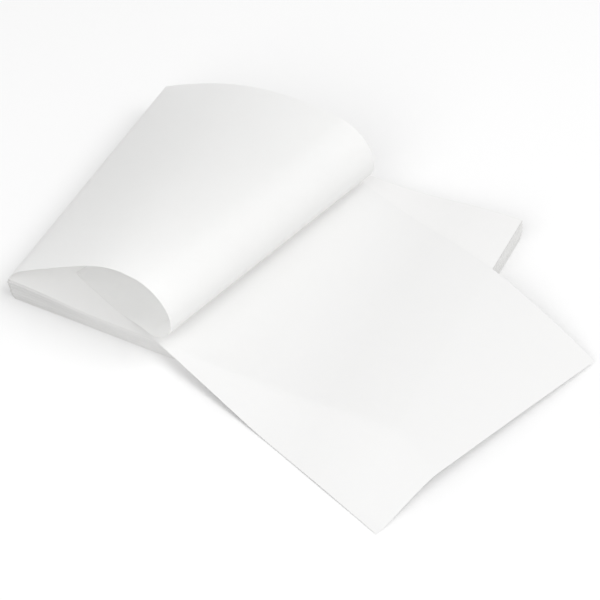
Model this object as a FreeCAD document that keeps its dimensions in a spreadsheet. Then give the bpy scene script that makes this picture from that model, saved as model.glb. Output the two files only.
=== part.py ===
import FreeCAD, Part

import math
import os

import Sketcher

# A pile of fan-fold paper: one continuous web, folded back on itself every page length.
# The last but one page is arched over to the right, and the last page lies turned across
# the pile, hangs over its near right corner and rests its tip on the table.
# Frame: origin at the middle of the pile's base, +X along the page length, +Z up.

# Driving dimensions, in millimetres and degrees. Each one is a cell of the sheet.
driving = {
    "page_length": 297,
    "page_width": 210,
    "sheet_thickness": 0.3,
    # side profile of the pile: thick at the folds, sunk in the middle
    "left_height": 18.3,
    "middle_height": 13.1,
    "right_height": 20.4,
    "left_rise": 80,
    "right_rise": 98,
    "left_foot_inset": 3.2,
    "right_foot_inset": 0.8,
    "left_bulge": 1.6,
    "right_bulge": 0.8,
    # the crease on the pile's left end, which the arched page springs from
    "crease_turn": 2.7,
    "crease_lift": 12.95,
    "crease_flat": 0.5,
    "spring_angle": 65,
    "lifted_run_near": 20,
    "lifted_run_far": 84,
    # the arched page's near edge is a chain of arcs: each has its length, its turn in degrees,
    # and how far the bend line at its end leans from square to that edge
    "curl_length": 20,
    "curl_turn": 30,
    "flank_length": 60,
    "flank_turn": 3,
    "shoulder_length": 20,
    "shoulder_turn": 8,
    "shoulder_lean": -12,
    "crown_length": 30,
    "crown_turn": 30,
    "crown_lean": 8,
    "brow_length": 50,
    "brow_turn": 98,
    "brow_lean": 9,
    "tuck_length": 30,
    "tuck_turn": 40,
    "tuck_lean": 7,
    "landing_arc_length": 14,
    "landing_arc_turn": 34,
    "landing_arc_lean": 5,
    # along the curl and the flank, the bend lines fan out from a tip this far past the crease
    "fan_tip": 10,
    # the page meets the laid page a little before its last arc ends
    "landing_length": 216,
    "landing_depth": 1,
    # the last page, laid across the pile and sunk into its top by the sink
    "laid_turn": -20.2,
    "laid_corner_west": 110.5,
    "laid_corner_south": 77.1,
    "laid_sink": 0.1,
    "near_slope": 0.347,
    "near_slope_change": -0.00153,
    "near_droop": 0.00195,
    "right_slope": 0.0685,
    "right_droop": 0.00121,
    "edge_ease": 1.2,
    "ridge_softness": 0.8,
    "table_gap": 0.45,
    "table_softness": 1,
}
fanned_arcs = ("curl", "flank")
arcs = (*fanned_arcs, "shoulder", "crown", "brow", "tuck", "landing_arc")
# where the near slope is the stated one, along X
near_slope_place = 60

# how finely the loose pages are followed
arch_stations = 24
steps_per_station = 18  # half a millimetre each, so that every arc ends on a step
laid_steps_along = 54
laid_steps_across = 38


def make_sheet(doc):
    sheet = doc.addObject("Spreadsheet::Sheet", "Sizes")
    for row, (name, value) in enumerate(driving.items(), start=1):
        sheet.set(f"A{row}", name)
        sheet.set(f"B{row}", str(value))
        sheet.setAlias(f"B{row}", name)
    doc.recompute()
    return sheet


def reverse_radius(run, rise):
    """Radius of the two equal arcs that climb by rise over run and end level."""
    return (run * run + rise * rise) / (4 * rise)


def pile_top(sizes, x):
    """Height of the pile's upper face at x."""
    half = sizes.page_length / 2
    if x < 0:
        run, end = sizes.left_rise, sizes.left_height
    else:
        run, end = sizes.right_rise, sizes.right_height
    rise = end - sizes.middle_height
    radius = reverse_radius(run, rise)
    along = min(max(abs(x) - (half - run), 0.0), run)
    if along < run / 2:
        return sizes.middle_height + radius - math.sqrt(radius ** 2 - along ** 2)
    return end - radius + math.sqrt(radius ** 2 - (run - along) ** 2)


def make_pile(doc, sizes):
    """The zigzag of closed pages, as one block with the pile's side profile."""
    body = doc.addObject("PartDesign::Body", "PileBody")
    sketch = body.newObject("Sketcher::SketchObject", "PileProfile")
    side_plane = next(f for f in body.Origin.OriginFeatures if f.Role == "XZ_Plane")
    sketch.AttachmentSupport = [(side_plane, "")]
    sketch.MapMode = "FlatFace"

    half = sizes.page_length / 2
    left_mid = (sizes.left_height + sizes.middle_height) / 2
    right_mid = (sizes.right_height + sizes.middle_height) / 2
    corners = [
        (-half + sizes.left_foot_inset, 0.0),
        (half - sizes.right_foot_inset, 0.0),
        (half, sizes.right_height),
        (half - sizes.right_rise / 2, right_mid),
        (half - sizes.right_rise, sizes.middle_height),
        (-half + sizes.left_rise, sizes.middle_height),
        (-half + sizes.left_rise / 2, left_mid),
        (-half, sizes.left_height),
    ]
    # expressions for each corner, in the same order
    half_text = "Sizes.page_length / 2"
    places = [
        (f"{half_text} - Sizes.left_foot_inset", None),
        (f"{half_text} - Sizes.right_foot_inset", None),
        (half_text, "Sizes.right_height"),
        (f"{half_text} - Sizes.right_rise / 2", "(Sizes.right_height + Sizes.middle_height) / 2"),
        (f"{half_text} - Sizes.right_rise", "Sizes.middle_height"),
        (f"{half_text} - Sizes.left_rise", "Sizes.middle_height"),
        (f"{half_text} - Sizes.left_rise / 2", "(Sizes.left_height + Sizes.middle_height) / 2"),
        (half_text, "Sizes.left_height"),
    ]
    # bulge of the edge that leaves each corner, + outwards; None for a straight edge
    right_sag = "(Sizes.right_rise ^ 2 + (Sizes.right_height - Sizes.middle_height) ^ 2)" \
                " / (4 * (Sizes.right_height - Sizes.middle_height))"
    left_sag = "(Sizes.left_rise ^ 2 + (Sizes.left_height - Sizes.middle_height) ^ 2)" \
               " / (4 * (Sizes.left_height - Sizes.middle_height))"
    right_end = "((Sizes.right_foot_inset ^ 2 + Sizes.right_height ^ 2)" \
                " / (8 * Sizes.right_bulge) + Sizes.right_bulge / 2)"
    left_end = "((Sizes.left_foot_inset ^ 2 + Sizes.left_height ^ 2)" \
               " / (8 * Sizes.left_bulge) + Sizes.left_bulge / 2)"
    right_radius = reverse_radius(sizes.right_rise, sizes.right_height - sizes.middle_height)
    left_radius = reverse_radius(sizes.left_rise, sizes.left_height - sizes.middle_height)
    right_end_radius = end_radius(sizes.right_foot_inset, sizes.right_height, sizes.right_bulge)
    left_end_radius = end_radius(sizes.left_foot_inset, sizes.left_height, sizes.left_bulge)
    arcs = [
        None,
        (right_end_radius, right_end),
        (right_radius, right_sag),
        (-right_radius, right_sag),
        None,
        (-left_radius, left_sag),
        (left_radius, left_sag),
        (left_end_radius, left_end),
    ]
    count = len(corners)
    for index, (start, arc) in enumerate(zip(corners, arcs)):
        stop = corners[(index + 1) % count]
        first = FreeCAD.Vector(start[0], start[1], 0)
        last = FreeCAD.Vector(stop[0], stop[1], 0)
        if arc is None:
            sketch.addGeometry(Part.LineSegment(first, last), False)
        else:
            sketch.addGeometry(Part.Arc(first, arc_middle(first, last, arc[0]), last), False)
    ends = {}
    for index, arc in enumerate(arcs):
        # an arc is stored anticlockwise, so one that turns inwards starts at its far corner
        inward = arc is not None and arc[0] < 0
        ends[index] = (2, 1) if inward else (1, 2)
    for index in range(count):
        following = (index + 1) % count
        sketch.addConstraint(
            Sketcher.Constraint("Coincident", index, ends[index][1], following, ends[following][0]))
    for index, ((x, z), (x_text, z_text)) in enumerate(zip(corners, places)):
        point = ends[index][0]
        if x < 0:
            width = sketch.addConstraint(Sketcher.Constraint("DistanceX", index, point, -1, 1, -x))
        else:
            width = sketch.addConstraint(Sketcher.Constraint("DistanceX", -1, 1, index, point, x))
        sketch.setExpression(f"Constraints[{width}]", x_text)
        if z_text is None:
            sketch.addConstraint(Sketcher.Constraint("PointOnObject", index, point, -1))
        else:
            height = sketch.addConstraint(Sketcher.Constraint("DistanceY", -1, 1, index, point, z))
            sketch.setExpression(f"Constraints[{height}]", z_text)
        if arcs[index] is not None:
            bend = sketch.addConstraint(Sketcher.Constraint("Radius", index, abs(arcs[index][0])))
            sketch.setExpression(f"Constraints[{bend}]", arcs[index][1])

    pad = body.newObject("PartDesign::Pad", "PilePad")
    pad.Profile = sketch
    pad.Midplane = True
    pad.setExpression("Length", "Sizes.page_width")
    sketch.Visibility = False
    return body


def end_radius(inset, height, bulge):
    return (inset ** 2 + height ** 2) / (8 * bulge) + bulge / 2


def arc_middle(first, last, radius):
    """Middle point of the arc, to the right of the way from first to last if radius > 0."""
    chord = last - first
    sagitta = abs(radius) - math.sqrt(radius ** 2 - (chord.Length / 2) ** 2)
    outward = FreeCAD.Vector(chord.y, -chord.x, 0).normalize()
    return (first + last) * 0.5 + outward * math.copysign(sagitta, radius)


def soft_min(first, second, softness):
    return (first + second - math.hypot(first - second, softness)) / 2


def laid_point(sizes, along, across):
    """Upper side of the laid page: along from its crease, across from its near edge."""
    half_length = sizes.page_length / 2
    half_width = sizes.page_width / 2
    turn = math.radians(sizes.laid_turn)
    x = -sizes.laid_corner_west + along * math.cos(turn) - across * math.sin(turn)
    y = -sizes.laid_corner_south + along * math.sin(turn) + across * math.cos(turn)
    # a slope takes up some of the page's length, so the plan draws in past each edge
    past_right = max(0.0, x - half_length)
    slope = sizes.right_slope + sizes.right_droop * past_right
    x -= past_right * (1 - math.cos(math.atan(slope)))
    near_slope = sizes.near_slope + sizes.near_slope_change * (x - near_slope_place)
    y += max(0.0, -half_width - y) * (1 - math.cos(math.atan(near_slope)))
    past_right = max(0.0, x - half_length)
    past_near = max(0.0, -half_width - y)
    pile = pile_top(sizes, min(x, half_length))
    right_fall = pile - sizes.right_slope * past_right - sizes.right_droop * past_right ** 2
    near_fall = pile + sizes.edge_ease + near_slope * (y + half_width) - sizes.near_droop * past_near ** 2
    height = soft_min(right_fall, near_fall, sizes.ridge_softness)
    height += sizes.sheet_thickness - sizes.laid_sink
    lowest = sizes.sheet_thickness + sizes.table_gap
    height = -soft_min(-height, -lowest, sizes.table_softness)
    return FreeCAD.Vector(x, y, height)


def make_laid_page(doc, sizes):
    """The last page: it follows the pile's top, bends over its two edges and hangs."""
    grid = []
    for i in range(laid_steps_along + 1):
        along = sizes.page_length * i / laid_steps_along
        row = [laid_point(sizes, along, sizes.page_width * j / laid_steps_across)
               for j in range(laid_steps_across + 1)]
        grid.append(row)
    surface = Part.BSplineSurface()
    surface.interpolate(grid)
    page = doc.addObject("Part::Feature", "LaidPage")
    page.Shape = surface.toShape().extrude(FreeCAD.Vector(0, 0, -sizes.sheet_thickness))
    page.Placement = FreeCAD.Placement()
    return page


def bend_at(sizes, along):
    """The arched page's bend per millimetre along its near edge, and its bend line's lean."""
    start = lean = 0
    for name in arcs:
        length = getattr(sizes, f"{name}_length")
        rate = math.radians(getattr(sizes, f"{name}_turn")) / length
        reach = min(along - start, length)
        if name in fanned_arcs:
            lean_here = -math.atan((start + reach) / (sizes.page_width + sizes.fan_tip))
        else:
            lean_at_end = math.radians(getattr(sizes, f"{name}_lean"))
            lean_here = lean + (lean_at_end - lean) * reach / length
        if along <= start + length:
            break
        start += length
        lean = lean_here
    return rate, lean_here


def bend_lines(sizes):
    """The arched page's bend lines, as (near end, far end, outward normal), from its crease on."""
    turn = math.radians(sizes.crease_turn)
    flat = math.sqrt(sizes.page_width ** 2 - sizes.crease_lift ** 2)
    near = FreeCAD.Vector(-sizes.page_length / 2, -sizes.page_width / 2, sizes.left_height)
    across = FreeCAD.Vector(flat * math.sin(turn), flat * math.cos(turn), sizes.crease_lift)
    across.normalize()
    level = across.cross(FreeCAD.Vector(0, 0, 1)).normalize()
    upward = level.cross(across)
    spring = math.radians(sizes.spring_angle)
    forward = level * math.cos(spring) + upward * math.sin(spring)
    normal = across.cross(forward) * -1
    lines = [(near, near + across * sizes.page_width, normal)]
    near = near + forward * sizes.crease_flat
    steps = arch_stations * steps_per_station
    step = sizes.landing_length / steps
    for count in range(steps + 1):
        if count % steps_per_station == 0:
            lean = bend_at(sizes, count * step)[1]
            reach = sizes.page_width / math.cos(lean)
            line = forward * math.sin(lean) + across * math.cos(lean)
            lines.append((near, near + line * reach, normal))
        rate, lean = bend_at(sizes, (count + 0.5) * step)
        # the sheet's own frame turns about the bend line
        axis = (forward * math.tan(lean) + across) * (rate * step)
        turned = FreeCAD.Rotation(axis, math.degrees(axis.Length))
        ahead = turned.multVec(forward)
        near = near + (forward + ahead) * (step / 2)
        forward = ahead
        across = turned.multVec(across)
        normal = turned.multVec(normal)
    return lines


def curve_through(points, pace):
    """A straight edge between two points, or one smooth curve through more."""
    curve = Part.BSplineCurve()
    if len(points) == 2:
        curve.buildFromPolesMultsKnots(points, [2, 2], pace, False, 1)
    else:
        curve.interpolate(Points=points, Parameters=pace)
    return curve


def piece_of(curve, start, stop):
    piece = curve.copy()
    piece.segment(start, stop)
    return piece


def ruled_face(first, second):
    """The face of straight lines between two curves that keep the same pace."""
    surface = Part.BSplineSurface()
    surface.buildFromPolesMultsKnots(
        [first.getPoles(), second.getPoles()], [2, 2], first.getMultiplicities(),
        [0.0, 1.0], first.getKnots(), False, False, 1, first.Degree)
    return surface.toShape()


def thick_web(spans):
    """One solid sheet of joined spans, each a list of (near end, far end, half thickness)."""
    faces = []
    for lines in spans:
        pace = [0.0]
        for (near, far, _), (next_near, next_far, _) in zip(lines, lines[1:]):
            pace.append(pace[-1] + (next_near - near).Length + (next_far - far).Length)
        curves = [curve_through([line[end] + line[2] * side for line in lines], pace)
                  for end, side in ((0, 1), (1, 1), (1, -1), (0, -1))]
        for start, stop in zip(pace, pace[1:]):
            edges = [piece_of(curve, start, stop) for curve in curves]
            faces += [ruled_face(edges[index - 1], edges[index]) for index in range(4)]
    for near, far, half in (spans[0][0], spans[-1][-1]):
        corners = [near + half, far + half, far - half, near - half]
        faces.append(Part.Face(Part.makePolygon(corners + corners[:1])))
    shell = Part.Shell(faces)
    shell.sewShape()
    solid = Part.Solid(shell)
    if solid.Volume < 0:
        solid.reverse()
    return solid


def make_arched_page(doc, sizes):
    """The lifted end of the pile's top page, the crease, and the page arched over from it."""
    half = sizes.sheet_thickness / 2
    crease, *arch = bend_lines(sizes)

    # the pile's top page comes up to the crease from the pile
    near, far, spring_normal = crease
    near_foot = FreeCAD.Vector(near.x + sizes.lifted_run_near, near.y, 0)
    near_foot.z = pile_top(sizes, near_foot.x) - sizes.landing_depth
    far_foot = FreeCAD.Vector(far.x + sizes.lifted_run_far, far.y, 0)
    far_foot.z = pile_top(sizes, far_foot.x) - sizes.landing_depth
    under = (far - near).cross(near_foot - near).normalize()
    if under.z > 0:
        under = under * -1
    mitre = (under + spring_normal) * (half / (1 + under.dot(spring_normal)))

    # past the last bend line the page runs straight down onto the laid page
    last, before = arch[-1], arch[-2]
    foot = []
    for now, ahead in ((last[0], before[0]), (last[1], before[1])):
        way = (now - ahead).normalize()
        drop = now.z - sizes.middle_height + sizes.landing_depth
        foot.append(now + way * (drop / -way.z))

    sheet = [(line[0], line[1], line[2] * half) for line in arch]
    spans = [
        [(near_foot, far_foot, under * half), (crease[0], crease[1], mitre)],
        [(crease[0], crease[1], mitre), sheet[0]],
        sheet,
        [sheet[-1], (foot[0], foot[1], last[2] * half)],
    ]
    page = doc.addObject("Part::Feature", "ArchedPage")
    page.Shape = thick_web(spans)
    page.Placement = FreeCAD.Placement()
    return page


def main():
    doc = FreeCAD.newDocument("FanFoldPaper")
    sizes = make_sheet(doc)
    web = doc.addObject("Part::MultiFuse", "FoldedWeb")
    web.Label = "fan_fold_stack"
    web.Shapes = [make_pile(doc, sizes), make_laid_page(doc, sizes), make_arched_page(doc, sizes)]
    doc.recompute()
    for part in doc.Objects:
        failed = [state for state in part.State if state in ("Invalid", "Error")]
        if failed:
            raise RuntimeError(f"{part.Name}: {failed}")
    for part in web.Shapes + [web]:
        if part.Shape.isNull() or not part.Shape.isValid() or len(part.Shape.Solids) != 1:
            raise RuntimeError(f"{part.Name} is not one valid solid")
    os.makedirs("parts", exist_ok=True)
    web.Shape.exportStep(f"parts/{web.Label}.step")
    print(web.Label, "volume", round(web.Shape.Volume), "mm3", web.Shape.BoundBox)


main()
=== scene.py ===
import math
import random

import bpy
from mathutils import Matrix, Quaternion, Vector, noise


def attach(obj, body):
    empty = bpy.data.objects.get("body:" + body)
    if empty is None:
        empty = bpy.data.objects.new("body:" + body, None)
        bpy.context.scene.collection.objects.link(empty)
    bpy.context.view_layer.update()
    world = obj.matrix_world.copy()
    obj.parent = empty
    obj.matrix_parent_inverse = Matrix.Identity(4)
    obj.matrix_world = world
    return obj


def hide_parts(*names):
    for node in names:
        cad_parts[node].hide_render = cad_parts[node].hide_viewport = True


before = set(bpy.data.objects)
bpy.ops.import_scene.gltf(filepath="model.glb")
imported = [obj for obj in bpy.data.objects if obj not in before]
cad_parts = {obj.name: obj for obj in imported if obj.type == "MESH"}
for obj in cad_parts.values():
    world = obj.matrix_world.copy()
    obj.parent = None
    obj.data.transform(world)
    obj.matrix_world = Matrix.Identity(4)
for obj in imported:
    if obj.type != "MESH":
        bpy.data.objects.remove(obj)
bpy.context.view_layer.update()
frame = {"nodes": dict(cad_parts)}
print("frame loaded:", ", ".join(frame["nodes"]))

# A pile of fan-fold thermal paper, all one web: closed pages, the top page, the page that
# arches over from the left crease, and the last page, turned across the pile to the table.

web = {
    "pageLength": 0.297,
    "pageWidth": 0.210,
    "thickness": 0.00008,
    "crispAngle": 50,  # degrees; the cut edges stay sharp
}
halfLength = web["pageLength"] / 2
halfWidth = web["pageWidth"] / 2


# ---- paper finishes ----

finish = {
    "archedTone": (0.965, 0.965, 0.962, 1),
    "laidTone": (0.835, 0.834, 0.83, 1),
    "stackedTone": (0.852, 0.85, 0.845, 1),
    # the folded ends: partly the perforated fold's own darker tone, partly painted shade of the gaps
    # between the fold loops
    "foldToneAndGapShade": (0.74, 0.738, 0.73, 1),
    "sheetEdgeTone": (0.9, 0.898, 0.89, 1),  # of a single sheet
    "pileEdgeGapShadeTone": (0.63, 0.628, 0.622, 1),  # of the pile: painted shade of the gaps between its pages, darker than a single sheet's cut edge
    "pressedGapShadeTone": (0.715, 0.713, 0.707, 1),  # cut edges where the pages are pressed tight: less painted shade between them
    "looseFrom": 0.13,  # metres from the pile's middle
    "pressedFrom": 0.045,
    # roughness, mottle (share of the tone) and bump height in metres
    "coated": (0.62, 0.012, 0.00012),
    "plain": (0.74, 0.02, 0.00015),
    "cut": (0.8, 0.08, 0.00005),
    "folded": (0.8, 0.08, 0.00008),
    "bumpStrength": 0.5,
    "gloss": 0.25,
    "showThrough": 0.45,  # light that each face of the arched sheet lets on
    "restingThroughPaintedLight": 0.34,  # less along its end, which lies on the last page: a lighter copy of the same sheet there, painted light
    "fibreSize": 900,  # noise cells per metre
    "cockleSize": 16,  # slow swells, per metre
}

fibre = {
    "detail": 6,
    "roughness": 0.7,
    "polishRange": 0.12,  # how far the fibres change the roughness
    "bumpShare": 0.04,
    "cockleDetail": 2,
    "cockleBumpShare": 3,
    "cloudSize": 140,  # the sheet's cloudy formation, cells per metre
    "cloudDetail": 4,
}


def addNode(nodes, kind, place, **settings):
    node = nodes.new(kind)
    node.location = place
    for name, value in settings.items():
        setattr(node, name, value)
    return node


def makeFibreGrain():
    # fine fibre and slow cockle, from the object's own coordinates
    group = bpy.data.node_groups.new("fibreGrain", "ShaderNodeTree")
    roughness, mottle, bumpHeight = finish["plain"]
    for name, value in (("Fibre Size", finish["fibreSize"]), ("Cockle Size", finish["cockleSize"]),
                        ("Mottle", mottle), ("Roughness", roughness)):
        socket = group.interface.new_socket(name, in_out="INPUT", socket_type="NodeSocketFloat")
        socket.default_value = value
    tone = group.interface.new_socket("Tone", in_out="INPUT", socket_type="NodeSocketColor")
    tone.default_value = finish["archedTone"]
    group.interface.new_socket("Colour", in_out="OUTPUT", socket_type="NodeSocketColor")
    group.interface.new_socket("Roughness", in_out="OUTPUT", socket_type="NodeSocketFloat")
    group.interface.new_socket("Height", in_out="OUTPUT", socket_type="NodeSocketFloat")
    nodes, links = group.nodes, group.links
    entry = addNode(nodes, "NodeGroupInput", (-900, 0))
    leave = addNode(nodes, "NodeGroupOutput", (700, 0))
    place = addNode(nodes, "ShaderNodeTexCoord", (-900, 300))
    hairs = addNode(nodes, "ShaderNodeTexNoise", (-600, 300))
    hairs.inputs["Detail"].default_value = fibre["detail"]
    hairs.inputs["Roughness"].default_value = fibre["roughness"]
    cockle = addNode(nodes, "ShaderNodeTexNoise", (-600, 0))
    cockle.inputs["Detail"].default_value = fibre["cockleDetail"]
    cloud = addNode(nodes, "ShaderNodeTexNoise", (-600, -300))
    cloud.inputs["Scale"].default_value = fibre["cloudSize"]
    cloud.inputs["Detail"].default_value = fibre["cloudDetail"]
    for texture in (hairs, cockle, cloud):
        links.new(place.outputs["Object"], texture.inputs["Vector"])
    links.new(entry.outputs["Fibre Size"], hairs.inputs["Scale"])
    links.new(entry.outputs["Cockle Size"], cockle.inputs["Scale"])

    # formation: cloudy look-through of the sheet, as a small change of tone
    spread = addNode(nodes, "ShaderNodeMath", (-350, -300), operation="SUBTRACT")
    spread.inputs[1].default_value = 0.5
    links.new(cloud.outputs["Fac"], spread.inputs[0])
    amount = addNode(nodes, "ShaderNodeMath", (-150, -300), operation="MULTIPLY")
    links.new(spread.outputs[0], amount.inputs[0])
    links.new(entry.outputs["Mottle"], amount.inputs[1])
    factor = addNode(nodes, "ShaderNodeMath", (50, -300), operation="ADD")
    factor.inputs[1].default_value = 1
    links.new(amount.outputs[0], factor.inputs[0])
    shade = addNode(nodes, "ShaderNodeVectorMath", (250, -200), operation="SCALE")
    links.new(entry.outputs["Tone"], shade.inputs[0])
    links.new(factor.outputs[0], shade.inputs["Scale"])
    links.new(shade.outputs[0], leave.inputs["Colour"])

    polish = addNode(nodes, "ShaderNodeMath", (50, 0), operation="MULTIPLY_ADD")
    polish.inputs[1].default_value = fibre["polishRange"]
    links.new(hairs.outputs["Fac"], polish.inputs[0])
    links.new(entry.outputs["Roughness"], polish.inputs[2])
    links.new(polish.outputs[0], leave.inputs["Roughness"])

    swell = addNode(nodes, "ShaderNodeMath", (-150, 200), operation="MULTIPLY")
    swell.inputs[1].default_value = fibre["cockleBumpShare"]
    links.new(cockle.outputs["Fac"], swell.inputs[0])
    height = addNode(nodes, "ShaderNodeMath", (50, 200), operation="MULTIPLY_ADD")
    height.inputs[1].default_value = fibre["bumpShare"]
    links.new(hairs.outputs["Fac"], height.inputs[0])
    links.new(swell.outputs[0], height.inputs[2])
    links.new(height.outputs[0], leave.inputs["Height"])
    return group


def makePaperFinish(name, tone, surface, showThrough=0.0):
    roughness, mottle, bumpHeight = finish[surface]
    material = bpy.data.materials.new(name)
    material.use_nodes = True
    nodes, links = material.node_tree.nodes, material.node_tree.links
    paper = nodes["Principled BSDF"]
    fibres = addNode(nodes, "ShaderNodeGroup", (-500, 0), node_tree=fibreGrain)
    fibres.inputs["Fibre Size"].default_value = finish["fibreSize"]
    fibres.inputs["Cockle Size"].default_value = finish["cockleSize"]
    fibres.inputs["Mottle"].default_value = mottle
    fibres.inputs["Roughness"].default_value = roughness - fibre["polishRange"] / 2
    fibres.inputs["Tone"].default_value = tone
    bump = addNode(nodes, "ShaderNodeBump", (-250, -250))
    bump.inputs["Strength"].default_value = finish["bumpStrength"]
    bump.inputs["Distance"].default_value = bumpHeight
    links.new(fibres.outputs["Height"], bump.inputs["Height"])
    links.new(fibres.outputs["Colour"], paper.inputs["Base Color"])
    links.new(fibres.outputs["Roughness"], paper.inputs["Roughness"])
    links.new(bump.outputs["Normal"], paper.inputs["Normal"])
    paper.inputs["Specular IOR Level"].default_value = finish["gloss"]
    if showThrough:
        # a single sheet glows with the light behind it
        glow = addNode(nodes, "ShaderNodeBsdfTranslucent", (0, -350))
        links.new(fibres.outputs["Colour"], glow.inputs["Color"])
        links.new(bump.outputs["Normal"], glow.inputs["Normal"])
        blend = addNode(nodes, "ShaderNodeMixShader", (300, -100))
        blend.inputs["Fac"].default_value = showThrough
        links.new(paper.outputs["BSDF"], blend.inputs[1])
        links.new(glow.outputs["BSDF"], blend.inputs[2])
        sheetOut = nodes["Material Output"]
        sheetOut.location = (520, 0)
        links.new(blend.outputs["Shader"], sheetOut.inputs["Surface"])
    return material


def paintLessGapShadeWherePressed(material):
    # painted shade of the gaps between the pages, from the loose ends of the pile to its pressed middle,
    # where it is lighter
    nodes, links = material.node_tree.nodes, material.node_tree.links
    place = addNode(nodes, "ShaderNodeTexCoord", (-1500, 0))
    split = addNode(nodes, "ShaderNodeSeparateXYZ", (-1300, 0))
    outward = addNode(nodes, "ShaderNodeMath", (-1100, 0), operation="ABSOLUTE")
    pressed = addNode(nodes, "ShaderNodeMapRange", (-900, 0), interpolation_type="SMOOTHSTEP")
    pressed.inputs["From Min"].default_value = finish["looseFrom"]
    pressed.inputs["From Max"].default_value = finish["pressedFrom"]
    mix = addNode(nodes, "ShaderNodeMix", (-700, 0), data_type="RGBA")
    mix.inputs["A"].default_value = finish["pileEdgeGapShadeTone"]
    mix.inputs["B"].default_value = finish["pressedGapShadeTone"]
    links.new(place.outputs["Object"], split.inputs["Vector"])
    links.new(split.outputs["X"], outward.inputs[0])
    links.new(outward.outputs[0], pressed.inputs["Value"])
    links.new(pressed.outputs["Result"], mix.inputs["Factor"])
    links.new(mix.outputs["Result"], nodes["Group"].inputs["Tone"])


fibreGrain = makeFibreGrain()
# the pile's cut edges carry painted shade of the gaps between its pages
pileEdgePaintedShade = makePaperFinish("pileEdgePaintedShade", finish["pileEdgeGapShadeTone"], "cut")
paintLessGapShadeWherePressed(pileEdgePaintedShade)
sheetEdge = makePaperFinish("sheetEdge", finish["sheetEdgeTone"], "cut")


def sheetFinishes(name, tone, edge, showThrough=0.0):
    # coated face, plain face and cut edge
    return [
        makePaperFinish(name + "Coated", tone, "coated", showThrough),
        makePaperFinish(name + "Plain", tone, "plain", showThrough),
        edge,
    ]


archedSheet = sheetFinishes("arched", finish["archedTone"], sheetEdge, finish["showThrough"])
# painted light: the end that rests on the last page is a lighter copy of the arched paper
archedSheet.append(makePaperFinish("archedEndPaintedLight", finish["archedTone"], "plain", finish["restingThroughPaintedLight"]))
laidSheet = sheetFinishes("laid", finish["laidTone"], sheetEdge)
stackedSheets = sheetFinishes("stacked", finish["stackedTone"], pileEdgePaintedShade)
# the folds: partly their own darker tone, partly painted shade of the gaps between them
stackedSheets.append(makePaperFinish("fanFoldAndGapShade", finish["foldToneAndGapShade"], "folded"))
print("paper finishes made")


# ---- web to mesh ----

def webSheet(name, rows, materials, fourthRows=()):
    # rows run along the web, each from the near edge to the far edge; coated face on the side of
    # (along x across), plain face behind it, cut edges all round, the fourth finish after fourthRows
    half = web["thickness"] / 2
    count, wide = len(rows), len(rows[0])
    upper, lower = [], []
    for i, row in enumerate(rows):
        ahead = rows[min(i + 1, count - 1)]
        behind = rows[max(i - 1, 0)]
        for j, point in enumerate(row):
            along = ahead[j] - behind[j]
            across = row[min(j + 1, wide - 1)] - row[max(j - 1, 0)]
            normal = along.cross(across).normalized() * half
            upper.append(point + normal)
            lower.append(point - normal)
    size = count * wide
    faces, finishes = [], []

    def face(corners, which):
        faces.append(corners)
        finishes.append(which)

    for i in range(count - 1):
        fourth = i in fourthRows
        for j in range(wide - 1):
            a, b = i * wide + j, (i + 1) * wide + j
            face((a, b, b + 1, a + 1), 3 if fourth else 0)
            face((a + size, a + 1 + size, b + 1 + size, b + size), 3 if fourth else 1)
    for i in range(count - 1):
        a, b = i * wide, (i + 1) * wide
        face((a + size, b + size, b, a), 2)
        a, b = a + wide - 1, b + wide - 1
        face((a, b, b + size, a + size), 2)
    for j in range(wide - 1):
        face((j, j + 1, j + 1 + size, j + size), 2)
        a = (count - 1) * wide + j
        face((a + size, a + 1 + size, a + 1, a), 2)

    mesh = bpy.data.meshes.new(name)
    mesh.from_pydata(upper + lower, [], faces)
    mesh.polygons.foreach_set("material_index", finishes)
    mesh.polygons.foreach_set("use_smooth", [True] * len(faces))
    mesh.set_sharp_from_angle(angle=math.radians(web["crispAngle"]))
    mesh.validate()
    for material in materials:
        mesh.materials.append(material)
    sheet = bpy.data.objects.new(name, mesh)
    bpy.context.scene.collection.objects.link(sheet)
    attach(sheet, "root")
    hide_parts("fan_fold_stack")
    print(name, "faces", len(faces))
    return sheet


def easeIn(share):
    share = min(max(share, 0.0), 1.0)
    return share * share * (3 - 2 * share)


def between(first, second, share):
    return first + (second - first) * share


# ---- the pile of closed pages ----

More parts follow.
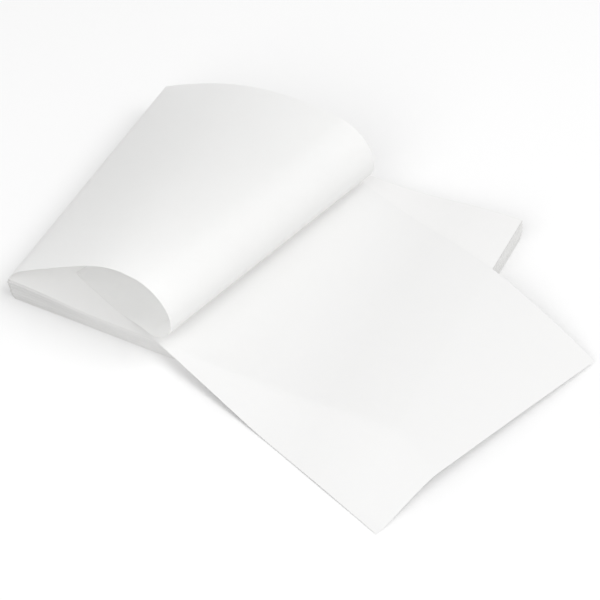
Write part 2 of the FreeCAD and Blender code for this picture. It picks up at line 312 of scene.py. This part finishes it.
closedPages = {
    "count": 173,  # odd, so that the last fold below the top page is on the right
    "leftHeight": 0.0183,
    "middleHeight": 0.0131,
    "rightHeight": 0.0204,
    "leftRise": 0.080,
    "rightRise": 0.098,
    "leftFootInset": 0.0032,
    "leftBulge": 0.0016,
    "rightFootInset": 0.0008,
    "rightBulge": 0.0008,
    "foldLoop": 1.0,  # how the spare height is shared: in the fold's own loop,
    "foldRest": 0.12,  # between one fold and the next,
    "looseGap": 2.2,  # and now and then a wider gap
    "looseShare": 0.05,
    "foldSpread": (0.7, 1.3),
    "looseSpread": (0.4, 1.0),
    "packing": 0.9,  # of a page's thickness, where pages lie tight
    "bundleSize": (5, 22),  # pages
    "bundleShift": 0.0003,  # pages slide in bundles, and a little one by one
    "pageShift": 0.00008,
    "foldWave": 0.00012,
    "waveCells": 22,  # per metre along a fold
    "wavePace": 0.37,  # from one page to the next
    "waveRight": 1.7,  # where the noise is read at each end
    "waveLeft": 6.1,
    "waveFade": 0.016,  # metres in from the fold
    "topStepOut": 0.0011,  # the loose pages near the top stand out on the near side
    "topStepCount": 34,
    "topTwist": 0.0022,  # radians, of the loose pages near the top
    "topTwistSlip": 0.2,  # of that, from one page to the next
    "leftSkew": 0.0028,  # the upper left folds turn in at the far corner, after the raised crease
    "clearance": 0.0003,  # below the top page
    # rows of a page, in from each fold, in metres, and of the fold, in degrees round it
    "endRows": (0.0, 0.0015, 0.005, *(0.01 * step for step in range(1, 11))),
    "foldRows": (-55, 0, 55),
    "columns": 5,
    "seed": 11,
}


def pileTop(x):
    # an arc up and an arc over on each side of a level middle
    if x < 0:
        run, end = closedPages["leftRise"], closedPages["leftHeight"]
    else:
        run, end = closedPages["rightRise"], closedPages["rightHeight"]
    low = closedPages["middleHeight"]
    rise = end - low
    radius = (run * run + rise * rise) / (4 * rise)
    along = min(max(abs(x) - (halfLength - run), 0.0), run)
    if along < run / 2:
        return low + radius - math.sqrt(radius ** 2 - along ** 2)
    return end - radius + math.sqrt(radius ** 2 - (run - along) ** 2)


def heightShares(chance, joinedAt):
    # running share of the spare height below each page, at the end where joinedAt pages fold
    sizes = closedPages
    gaps = []
    for k in range(sizes["count"]):
        if k % 2 == joinedAt:
            gap = sizes["foldLoop"] * chance.uniform(*sizes["foldSpread"])
        else:
            gap = sizes["foldRest"]
            if chance.random() < sizes["looseShare"] * 2:
                gap += sizes["looseGap"] * chance.uniform(*sizes["looseSpread"])
        gaps.append(gap)
    total = sum(gaps)
    shares, running = [0.0], 0.0
    for gap in gaps:
        running += gap / total
        shares.append(running)
    return shares


def slides(chance, count, bundle, single):
    # bundles of pages that slid together, with a small slip of each page on top
    values = []
    while len(values) < count:
        shift = chance.uniform(-bundle, bundle)
        for _ in range(chance.randint(*closedPages["bundleSize"])):
            values.append(shift + chance.uniform(-single, single))
    return values[:count]


def foldWave(level, y, right):
    # the folds aren't quite straight
    sizes = closedPages
    place = Vector((y * sizes["waveCells"], level * sizes["wavePace"],
                    sizes["waveRight"] if right else sizes["waveLeft"]))
    return noise.noise(place) * sizes["foldWave"]


def makeClosedPages():
    sizes = closedPages
    chance = random.Random(sizes["seed"])
    count = sizes["count"]
    leftShares = heightShares(chance, 1)
    rightShares = heightShares(chance, 0)
    slideX = slides(chance, count + 1, sizes["bundleShift"], sizes["pageShift"])
    slideY = slides(chance, count + 1, sizes["bundleShift"], sizes["pageShift"])
    twists = slides(chance, count + 1, sizes["topTwist"], sizes["topTwist"] * sizes["topTwistSlip"])
    tightPage = web["thickness"] * sizes["packing"]
    solidHeight = (count + 1) * tightPage

    def pageHeight(k, x):
        side = leftShares[k] if x < 0 else rightShares[k]
        run = sizes["leftRise"] if x < 0 else sizes["rightRise"]
        loose = easeIn((abs(x) - (halfLength - run)) / run)
        share = between(k / count, side, loose)
        spare = pileTop(x) - sizes["clearance"] - solidHeight
        return tightPage * (k + 0.5) + spare * share

    def endPlace(k, right):
        # the pile's end leans out and bellies
        level = k / count
        inset = sizes["rightFootInset"] if right else sizes["leftFootInset"]
        bulge = sizes["rightBulge"] if right else sizes["leftBulge"]
        return halfLength - inset * (1 - level) + 4 * bulge * level * (1 - level)

    def placed(k, x, y, z):
        # slid and turned in its own plane; the pages near the top are looser
        near = max(0.0, 1 - (count - k) / sizes["topStepCount"])
        skew = sizes["leftSkew"] * easeIn(2 * k / count - 1) * (y / web["pageWidth"] + 0.5)
        x += skew * easeIn(-x / halfLength)
        angle = twists[k] * near
        shiftX = slideX[k] * (1 - near)
        shiftY = slideY[k] * (1 - near / 2) - sizes["topStepOut"] * math.sin(math.pi * near)
        return Vector((x + shiftX - angle * y, y + shiftY + angle * (x + halfLength), z))

    lastColumn = sizes["columns"] - 1
    columns = [-halfWidth + web["pageWidth"] * j / lastColumn for j in range(sizes["columns"])]
    steps, foldTurns = sizes["endRows"], sizes["foldRows"]
    rows, foldRows = [], set()
    for k in range(count):
        right = k % 2 == 0
        leftEnd, rightEnd = -endPlace(k, False), endPlace(k, True)
        places = [leftEnd + step for step in steps] + [rightEnd - step for step in reversed(steps)]
        if not right:
            places.reverse()
        for x in places:
            fade = 1 - min(1.0, (halfLength - abs(x)) / sizes["waveFade"])
            z = pageHeight(k, x)
            rows.append([placed(k, x + foldWave(k, y, x > 0) * fade, y, z) for y in columns])
        # the fold: half a turn up to the next page
        sign = 1 if right else -1
        low, high = pageHeight(k, sign * halfLength), pageHeight(k + 1, sign * halfLength)
        radius = (high - low) / 2
        thisEnd = rightEnd if right else leftEnd
        nextEnd = sign * endPlace(k + 1, right)
        # the fold's finish, partly painted shade of the gaps between the folds, reaches one row past it
        # on each side
        foldRows.update(range(len(rows) - 2, len(rows) + len(foldTurns) + 1))
        for bend in foldTurns:
            turn = math.radians(bend)
            share = (bend + 90) / 180
            x = between(thisEnd, nextEnd, share)
            z = low + radius + radius * math.sin(turn)
            outward = Vector((sign * radius * math.cos(turn), 0, 0))
            row = []
            for y in columns:
                wave = foldWave(k + share, y, right)
                start = placed(k, x + wave, y, z)
                stop = placed(k + 1, x + wave, y, z)
                row.append(start.lerp(stop, share) + outward)
            rows.append(row)
    return webSheet("closedPages", rows, stackedSheets, foldRows)


makeClosedPages()


# ---- the arched page: it springs from the left crease and rolls over to the right ----

archedPage = {
    "creaseTurn": 2.7,  # degrees
    "creaseLift": 0.01295,
    "creaseFlat": 0.0005,
    "springAngle": 65,
    # the near edge is a chain of arcs: length, turn in degrees, and how far the bend line at its
    # end leans from square to that edge, or None where the bend lines fan out from one tip
    "arcs": {
        "curl": (0.020, 30, None),
        "flank": (0.060, 3, None),
        "shoulder": (0.020, 8, -12),
        "crown": (0.030, 30, 8),
        "brow": (0.050, 98, 9),
        "tuck": (0.030, 40, 7),
        "landing": (0.014, 34, 5),
    },
    "fanTip": 0.010,  # past the crease's far corner
    "stations": 224,
    "stepsPerStation": 2,  # half a millimetre each, so that every arc ends on a step
    "returnRows": 32,
    "settleShare": 0.35,  # of the hidden run, before it lies on the last page
    "creaseGap": 1.4,  # of the sheet's thickness, between the pages' middles at the hidden crease
    "creaseRows": (35, 90, 145, 180),  # degrees round that crease
    "columns": 17,
}


def bendAt(along):
    # bend per metre along the near edge, and the lean of the bend line there
    start, lean = 0.0, 0.0
    for length, turn, leanAtEnd in archedPage["arcs"].values():
        rate = math.radians(turn) / length
        reach = min(along - start, length)
        if leanAtEnd is None:
            leanHere = -math.atan((start + reach) / (web["pageWidth"] + archedPage["fanTip"]))
        else:
            leanHere = between(lean, math.radians(leanAtEnd), reach / length)
        if along <= start + length:
            break
        start += length
        lean = leanHere
    return rate, leanHere


def bendLines():
    # straight lines of the rolled sheet, as (near end, far end), from the crease on
    sizes = archedPage
    turn, lift = math.radians(sizes["creaseTurn"]), sizes["creaseLift"]
    flat = math.sqrt(web["pageWidth"] ** 2 - lift ** 2)
    near = Vector((-halfLength, -halfWidth, closedPages["leftHeight"]))
    across = Vector((flat * math.sin(turn), flat * math.cos(turn), lift)).normalized()
    level = across.cross(Vector((0, 0, 1))).normalized()
    upward = level.cross(across)
    spring = math.radians(sizes["springAngle"])
    forward = level * math.cos(spring) + upward * math.sin(spring)
    lines = [(near.copy(), near + across * web["pageWidth"])]
    near += forward * sizes["creaseFlat"]
    perStation = sizes["stepsPerStation"]
    steps = sizes["stations"] * perStation
    step = sum(length for length, turn, lean in sizes["arcs"].values()) / steps
    for count in range(steps + 1):
        if count % perStation == 0:
            lean = bendAt(count * step)[1]
            line = forward * math.sin(lean) + across * math.cos(lean)
            lines.append((near.copy(), near + line * (web["pageWidth"] / math.cos(lean))))
        rate, lean = bendAt((count + 0.5) * step)
        axis = (forward * math.tan(lean) + across) * (rate * step)
        turned = Quaternion(axis, axis.length)
        ahead = turned @ forward
        near += (forward + ahead) * (step / 2)
        forward, across = ahead, turned @ across
    return lines


# ---- the last page: laid across the pile, over its near right corner, tip on the table ----

lastPage = {
    "turn": -20.2,  # degrees
    "cornerWest": 0.1105,
    "cornerSouth": 0.0771,
    "nearSlope": 0.347,
    "nearSlopeChange": -1.53,  # per metre of x past the place where the slope is the one above
    "nearSlopePlace": 0.060,
    "nearDroop": 1.95,
    "rightSlope": 0.0685,
    "rightDroop": 1.21,
    "edgeEase": 0.0012,
    "ridgeSoftness": 0.0008,
    "tableGap": 0.00045,
    "tableSoftness": 0.001,
    "pileGap": 1.2,  # of the sheet's thickness, from the pile to its middle
    "alongSteps": 150,
    "acrossSteps": 106,
}


def softMin(first, second, softness):
    return (first + second - math.hypot(first - second, softness)) / 2


def laidPoint(along, across):
    sizes = lastPage
    turn = math.radians(sizes["turn"])
    x = -sizes["cornerWest"] + along * math.cos(turn) - across * math.sin(turn)
    y = -sizes["cornerSouth"] + along * math.sin(turn) + across * math.cos(turn)
    # a slope takes up some of the page's length
    pastRight = max(0.0, x - halfLength)
    slope = sizes["rightSlope"] + sizes["rightDroop"] * pastRight
    x -= pastRight * (1 - math.cos(math.atan(slope)))
    nearSlope = sizes["nearSlope"] + sizes["nearSlopeChange"] * (x - sizes["nearSlopePlace"])
    y += max(0.0, -halfWidth - y) * (1 - math.cos(math.atan(nearSlope)))
    pastRight = max(0.0, x - halfLength)
    pastNear = max(0.0, -halfWidth - y)
    pile = pileTop(min(x, halfLength))
    rightFall = pile - sizes["rightSlope"] * pastRight - sizes["rightDroop"] * pastRight ** 2
    nearFall = pile + sizes["edgeEase"] + nearSlope * (y + halfWidth) - sizes["nearDroop"] * pastNear ** 2
    height = softMin(rightFall, nearFall, sizes["ridgeSoftness"])
    height += web["thickness"] * sizes["pileGap"]
    height = -softMin(-height, -(web["thickness"] + sizes["tableGap"]), sizes["tableSoftness"])
    return Vector((x, y, height))


def makeLastPage():
    sizes = lastPage
    rows = []
    for i in range(sizes["alongSteps"] + 1):
        along = web["pageLength"] * i / sizes["alongSteps"]
        rows.append([laidPoint(along, web["pageWidth"] * j / sizes["acrossSteps"])
                     for j in range(sizes["acrossSteps"] + 1)])
    return webSheet("lastPage", rows, laidSheet)


def makeArchedPage():
    # made after the last page's form is known, because its hidden end lies on that page
    sizes = archedPage
    shares = [j / (sizes["columns"] - 1) for j in range(sizes["columns"])]
    rows = [[near.lerp(far, share) for share in shares] for near, far in bendLines()]
    # hidden run back to the crease with the last page, which settles on that page
    above = Vector((0, 0, web["thickness"] * sizes["creaseGap"]))
    landing, bendRows = rows[-1], len(rows)
    crease = [laidPoint(0, web["pageWidth"] * share) + above for share in shares]
    for step in range(1, sizes["returnRows"] + 1):
        share = step / sizes["returnRows"]
        settled = easeIn(share / sizes["settleShare"])
        row = []
        for start, stop in zip(landing, crease):
            point = start.lerp(stop, share)
            floor = pileTop(point.x) + stop.z - pileTop(stop.x)
            spare = start.z - pileTop(start.x) - (stop.z - pileTop(stop.x))
            point.z = floor + spare * (1 - settled)
            row.append(point)
        rows.append(row)
    # the hidden crease itself
    pageTurn = math.radians(lastPage["turn"])
    outward = Vector((-math.cos(pageTurn), -math.sin(pageTurn), 0))
    for bend in sizes["creaseRows"]:
        turn = math.radians(bend)
        reach = outward * (above.z / 2 * math.sin(turn))
        rows.append([point - above * ((1 - math.cos(turn)) / 2) + reach for point in crease])
    # the landing, the hidden run and the crease take the lighter copy, painted light
    return webSheet("archedPage", rows, archedSheet, range(bendRows - 1, len(rows)))


makeArchedPage()
makeLastPage()


# ---- the top page: on the pile from the right fold, lifted to the left crease ----

topPage = {
    "liftNear": 0.020,  # where it leaves the pile, from the crease
    "liftFar": 0.085,
    "climb": 1.6,  # power of its rise to the crease
    "foldGap": 0.0001,  # short of the right fold
    "clearance": 0.0002,  # below the last page
    "rows": 90,
    "columns": 17,
}


def makeTopPage():
    sizes = topPage
    nearCrease, farCrease = bendLines()[0]
    rows = []
    for i in range(sizes["rows"] + 1):
        run = i / sizes["rows"]
        row = []
        for j in range(sizes["columns"]):
            share = j / (sizes["columns"] - 1)
            crease = nearCrease.lerp(farCrease, share)
            x = between(halfLength - sizes["foldGap"], crease.x, run)
            lift = between(sizes["liftNear"], sizes["liftFar"], share)
            rest = pileTop(x) - sizes["clearance"]
            climb = max(0.0, 1 - (x - crease.x) / lift)
            up = crease.z - (pileTop(crease.x) - sizes["clearance"])
            z = rest + up * climb ** sizes["climb"]
            y = between(-halfWidth + web["pageWidth"] * share, crease.y, easeIn(run))
            row.append(Vector((x, y, z)))
        rows.append(row)
    return webSheet("topPage", rows, stackedSheets)


makeTopPage()


# ---- studio ----

studio = {
    "floorSize": 30,
    "floorTone": (0.95, 0.95, 0.95, 1),
    "floorRoughness": 0.9,
    "floorGloss": 0.1,
    "roomLight": 0.61,
    "lampDistance": 3.0,
    # watts, size in metres, degrees round from +X, degrees up
    "lamps": {
        "frontBox": (24, 2.2, -90, 38),
        "rightBox": (35.5, 2.2, 0, 58),
    },
    "bounces": 24,  # light passes to and fro between white sheets
    "diffuseBounces": 12,
}


def makeFloor():
    half = studio["floorSize"] / 2
    mesh = bpy.data.meshes.new("paleFloor")
    corners = [(-half, -half, 0), (half, -half, 0), (half, half, 0), (-half, half, 0)]
    mesh.from_pydata(corners, [], [(0, 1, 2, 3)])
    material = bpy.data.materials.new("paleFloor")
    material.use_nodes = True
    surface = material.node_tree.nodes["Principled BSDF"]
    surface.inputs["Roughness"].default_value = studio["floorRoughness"]
    surface.inputs["Specular IOR Level"].default_value = studio["floorGloss"]
    surface.inputs["Base Color"].default_value = studio["floorTone"]
    mesh.materials.append(material)
    floor = bpy.data.objects.new("paleFloor", mesh)
    bpy.context.scene.collection.objects.link(floor)


def makeLights():
    world = bpy.data.worlds.new("softRoom")
    bpy.context.scene.world = world
    world.use_nodes = True
    background = world.node_tree.nodes["Background"]
    background.inputs["Color"].default_value = (1, 1, 1, 1)
    background.inputs["Strength"].default_value = studio["roomLight"]
    for name, (power, size, turn, up) in studio["lamps"].items():
        lamp = bpy.data.lights.new(name, "AREA")
        lamp.shape = "DISK"
        lamp.size = size
        lamp.energy = power
        turn, up = math.radians(turn), math.radians(up)
        aim = Vector((math.cos(turn) * math.cos(up), math.sin(turn) * math.cos(up), math.sin(up)))
        box = bpy.data.objects.new(name, lamp)
        box.location = aim * studio["lampDistance"]
        box.rotation_euler = aim.to_track_quat("Z", "Y").to_euler()
        bpy.context.scene.collection.objects.link(box)


viewPoint = {
    "azimuth": 26.466,
    "elevation": 47.287,
    "distance": 1.63534,
    "lens": 140.713,
    "sensor": 36,
    "clip": (0.05, 60),
    "target": (0.033494, -0.017366, 0.0),
}


def makeCamera():
    camera = bpy.data.objects.new("stillCamera", bpy.data.cameras.new("stillCamera"))
    azimuth, elevation = math.radians(viewPoint["azimuth"]), math.radians(viewPoint["elevation"])
    back = Vector((math.sin(azimuth) * math.cos(elevation),
                   -math.cos(azimuth) * math.cos(elevation), math.sin(elevation)))
    camera.location = Vector(viewPoint["target"]) + back * viewPoint["distance"]
    camera.rotation_mode = "QUATERNION"
    camera.rotation_quaternion = (-back).to_track_quat("-Z", "Y")
    camera.data.sensor_width = viewPoint["sensor"]
    camera.data.lens = viewPoint["lens"]
    camera.data.clip_start, camera.data.clip_end = viewPoint["clip"]
    bpy.context.scene.collection.objects.link(camera)
    bpy.context.scene.camera = camera


makeFloor()
makeLights()
makeCamera()
bpy.context.scene.cycles.max_bounces = studio["bounces"]
bpy.context.scene.cycles.diffuse_bounces = studio["diffuseBounces"]
bpy.context.scene.view_settings.view_transform = "Standard"
print("studio ready")

bpy.context.view_layer.update()
